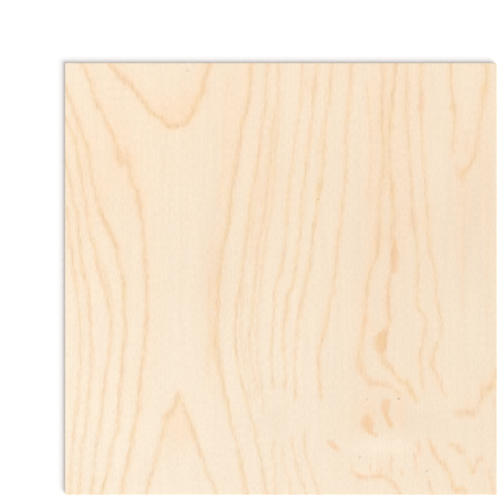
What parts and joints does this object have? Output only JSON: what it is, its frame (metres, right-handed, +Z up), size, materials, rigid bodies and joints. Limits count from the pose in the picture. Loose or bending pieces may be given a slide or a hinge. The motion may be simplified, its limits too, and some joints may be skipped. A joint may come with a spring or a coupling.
{
  "type": "plywood sheet",
  "caption": "Thin square plywood sheet with a pale sanded veneer face, square sawn edges and lightly eased arrises, used as flat stock for cutting, panels and model building.",
  "frame": {"origin": "centre of the underside, where the sheet lies on a level floor", "axes": "+Z up out of the show face, +Y along the face grain, +X across the face grain"},
  "size_m": [0.3048, 0.3048, 0.003],
  "materials": {
    "veneer": "sanded, unfinished pale rotary-cut veneer with honey-coloured growth lines along Y"
  },
  "bodies": {
    "root": {"plywood_sheet": "veneer"}
  },
  "joints": []
}
